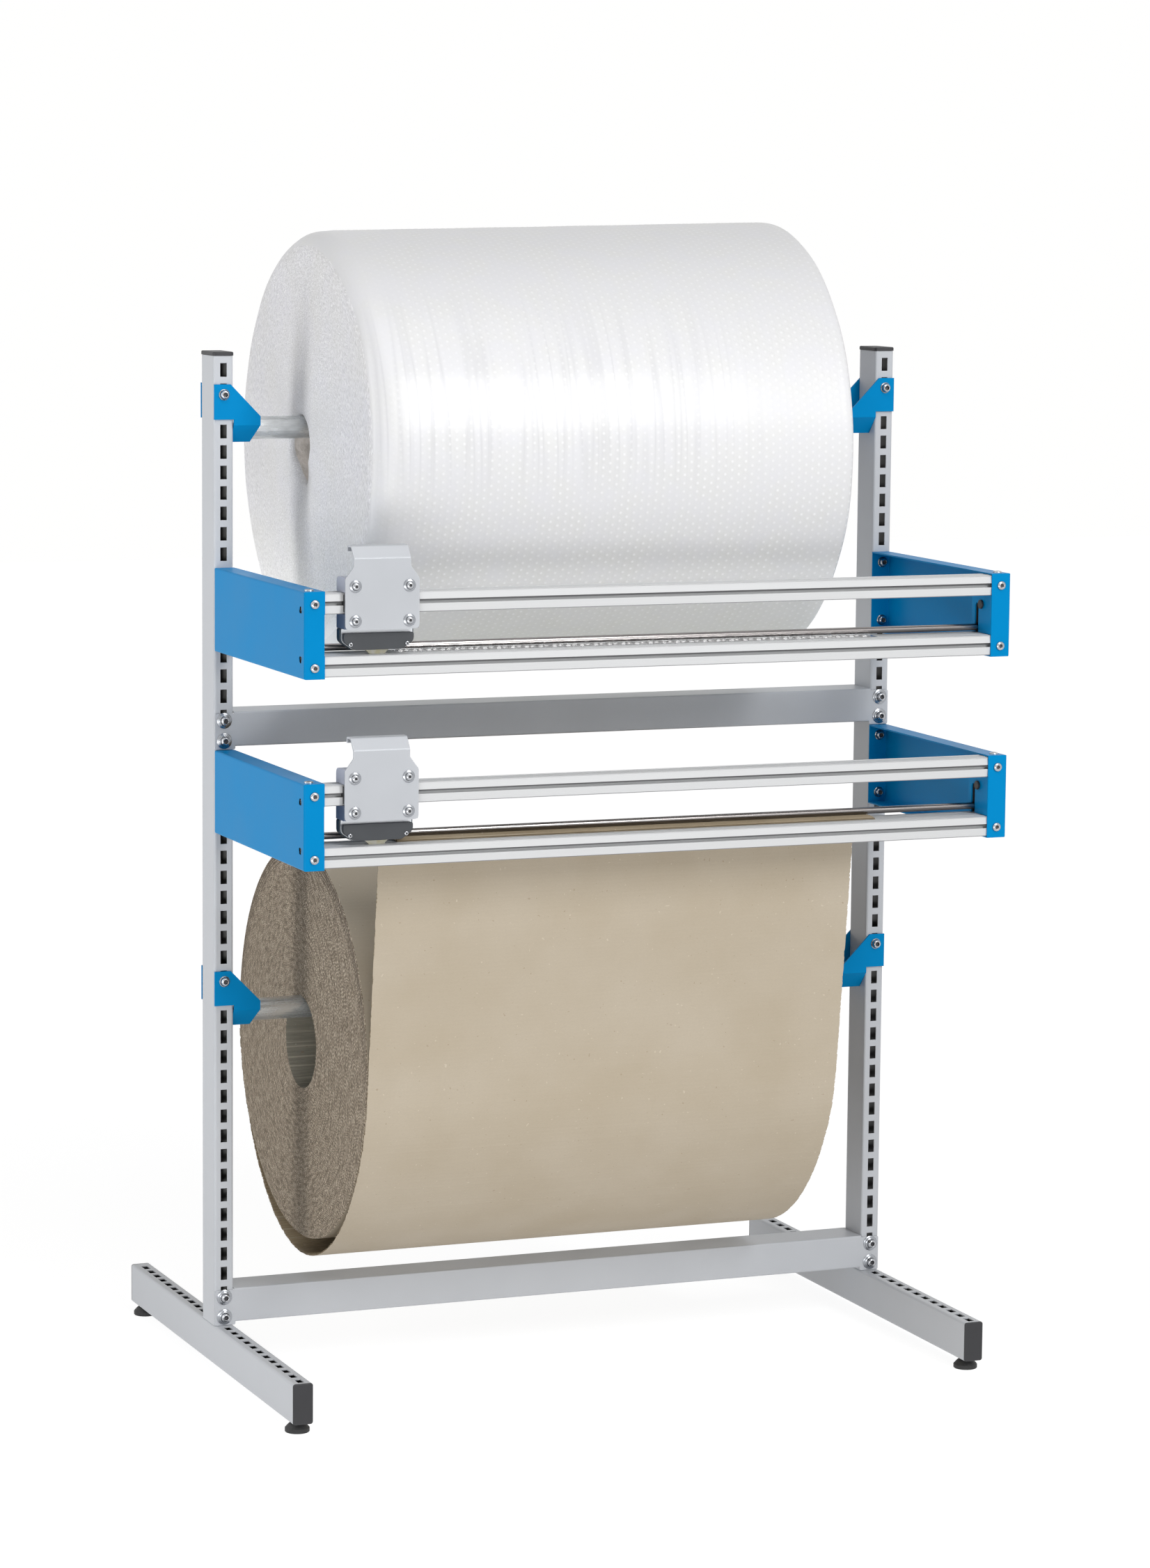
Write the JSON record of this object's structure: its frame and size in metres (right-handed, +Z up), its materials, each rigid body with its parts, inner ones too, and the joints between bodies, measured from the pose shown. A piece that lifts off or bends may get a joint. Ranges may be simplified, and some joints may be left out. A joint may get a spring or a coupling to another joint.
{
  "type": "double roll cutter stand",
  "caption": "Floor stand holding two rolls of packing material on tubes, each with a hold-down rod and a sliding cutter carriage on a guide profile.",
  "frame": {"origin": "on the floor, under the middle of the stand's bounding box", "axes": "+X to the right along the roll tubes and guide profiles, +Y from the cutting side to the back, +Z up"},
  "size_m": [1.106, 0.848, 1.723],
  "materials": {
    "grey_paint": "fine powder coat",
    "blue_paint": "smooth powder coat",
    "anodised_aluminium": "satin anodised",
    "blade_steel": "ground",
    "zinc_tube": "drawn and zinc plated",
    "polished_rod": "polished",
    "zinc_plate": "silver grey, satin",
    "grey_block": "satin grey",
    "dark_housing": "matte charcoal",
    "black_plastic": "matte black",
    "clear_guard": "milky clear",
    "bubble_film": "bubbled film",
    "brown_board": "single-faced board",
    "black_foot": "matte black"
  },
  "bodies": {
    "frame": {"post_left": "grey_paint", "post_cap_left": "black_plastic", "foot_rail_left": "grey_paint", "foot_cap_front_left": "black_plastic", "foot_cap_back_left": "black_plastic", "bracket_upper_left": "blue_paint", "bracket_lower_left": "blue_paint", "post_right": "grey_paint", "post_cap_right": "black_plastic", "foot_rail_right": "grey_paint", "foot_cap_front_right": "black_plastic", "foot_cap_back_right": "black_plastic", "bracket_upper_right": "blue_paint", "bracket_lower_right": "blue_paint", "crossbar_middle": "grey_paint", "crossbar_bottom": "grey_paint", "bubble_web": "bubble_film", "cardboard_web": "brown_board", "side_panel_upper_left": "blue_paint", "rod_magnet_upper_left": "black_plastic", "side_panel_upper_right": "blue_paint", "rod_magnet_upper_right": "black_plastic", "base_profile_upper": "anodised_aluminium", "guide_profile_upper": "anodised_aluminium", "side_panel_lower_left": "blue_paint", "rod_magnet_lower_left": "black_plastic", "side_panel_lower_right": "blue_paint", "rod_magnet_lower_right": "black_plastic", "base_profile_lower": "anodised_aluminium", "guide_profile_lower": "anodised_aluminium"},
    "carriage_upper": {"carriage_plate_upper": "zinc_plate", "carriage_upper_block_upper": "grey_block", "carriage_lower_block_upper": "grey_block", "carriage_glide_upper": "black_plastic", "blade_cover_upper": "dark_housing", "blade_carrier_upper": "blade_steel", "blade_housing_upper": "dark_housing", "blade_guard_upper": "clear_guard", "blade_upper": "blade_steel"},
    "rod_upper": {"hold_down_rod_upper": "polished_rod"},
    "carriage_lower": {"carriage_plate_lower": "zinc_plate", "carriage_upper_block_lower": "grey_block", "carriage_lower_block_lower": "grey_block", "carriage_glide_lower": "black_plastic", "blade_cover_lower": "dark_housing", "blade_carrier_lower": "blade_steel", "blade_housing_lower": "dark_housing", "blade_guard_lower": "clear_guard", "blade_lower": "blade_steel"},
    "rod_lower": {"hold_down_rod_lower": "polished_rod"},
    "tube_upper": {"roll_tube_upper": "zinc_tube"},
    "roll_upper": {"bubble_roll": "bubble_film"},
    "tube_lower": {"roll_tube_lower": "zinc_tube"},
    "roll_lower": {"cardboard_roll": "brown_board"},
    "leveller_front_left": {"levelling_foot_front_left": "black_foot"},
    "leveller_back_left": {"levelling_foot_back_left": "black_foot"},
    "leveller_front_right": {"levelling_foot_front_right": "black_foot"},
    "leveller_back_right": {"levelling_foot_back_right": "black_foot"}
  },
  "joints": [
    {"name": "carriage_upper_slide", "type": "slide", "parent": "frame", "child": "carriage_upper", "axis": [1, 0, 0], "range_m": [-0.018, 0.892]},
    {"name": "rod_upper_lift", "type": "slide", "parent": "frame", "child": "rod_upper", "axis": [0, 0, 1], "range_m": [0, 0.0309]},
    {"name": "carriage_lower_slide", "type": "slide", "parent": "frame", "child": "carriage_lower", "axis": [1, 0, 0], "range_m": [-0.018, 0.892]},
    {"name": "rod_lower_lift", "type": "slide", "parent": "frame", "child": "rod_lower", "axis": [0, 0, 1], "range_m": [0, 0.0284]},
    {"name": "tube_upper_turn", "type": "hinge", "parent": "frame", "child": "tube_upper", "pos_m": [0, 0.023, 1.419], "axis": [1, 0, 0], "continuous": true},
    {"name": "roll_upper_turn", "type": "hinge", "parent": "frame", "child": "roll_upper", "pos_m": [0, 0.023, 1.39215], "axis": [1, 0, 0], "continuous": true},
    {"name": "tube_lower_turn", "type": "hinge", "parent": "frame", "child": "tube_lower", "pos_m": [0, 0.023, 0.549], "axis": [1, 0, 0], "continuous": true},
    {"name": "roll_lower_turn", "type": "hinge", "parent": "frame", "child": "roll_lower", "pos_m": [0, 0.023, 0.49515], "axis": [1, 0, 0], "continuous": true},
    {"name": "leveller_front_left_turn", "type": "hinge", "parent": "frame", "child": "leveller_front_left", "pos_m": [-0.535, -0.349, 0.016], "axis": [0, 0, 1], "continuous": true},
    {"name": "leveller_back_left_turn", "type": "hinge", "parent": "frame", "child": "leveller_back_left", "pos_m": [-0.535, 0.397, 0.016], "axis": [0, 0, 1], "continuous": true},
    {"name": "leveller_front_right_turn", "type": "hinge", "parent": "frame", "child": "leveller_front_right", "pos_m": [0.535, -0.349, 0.016], "axis": [0, 0, 1], "continuous": true},
    {"name": "leveller_back_right_turn", "type": "hinge", "parent": "frame", "child": "leveller_back_right", "pos_m": [0.535, 0.397, 0.016], "axis": [0, 0, 1], "continuous": true}
  ]
}
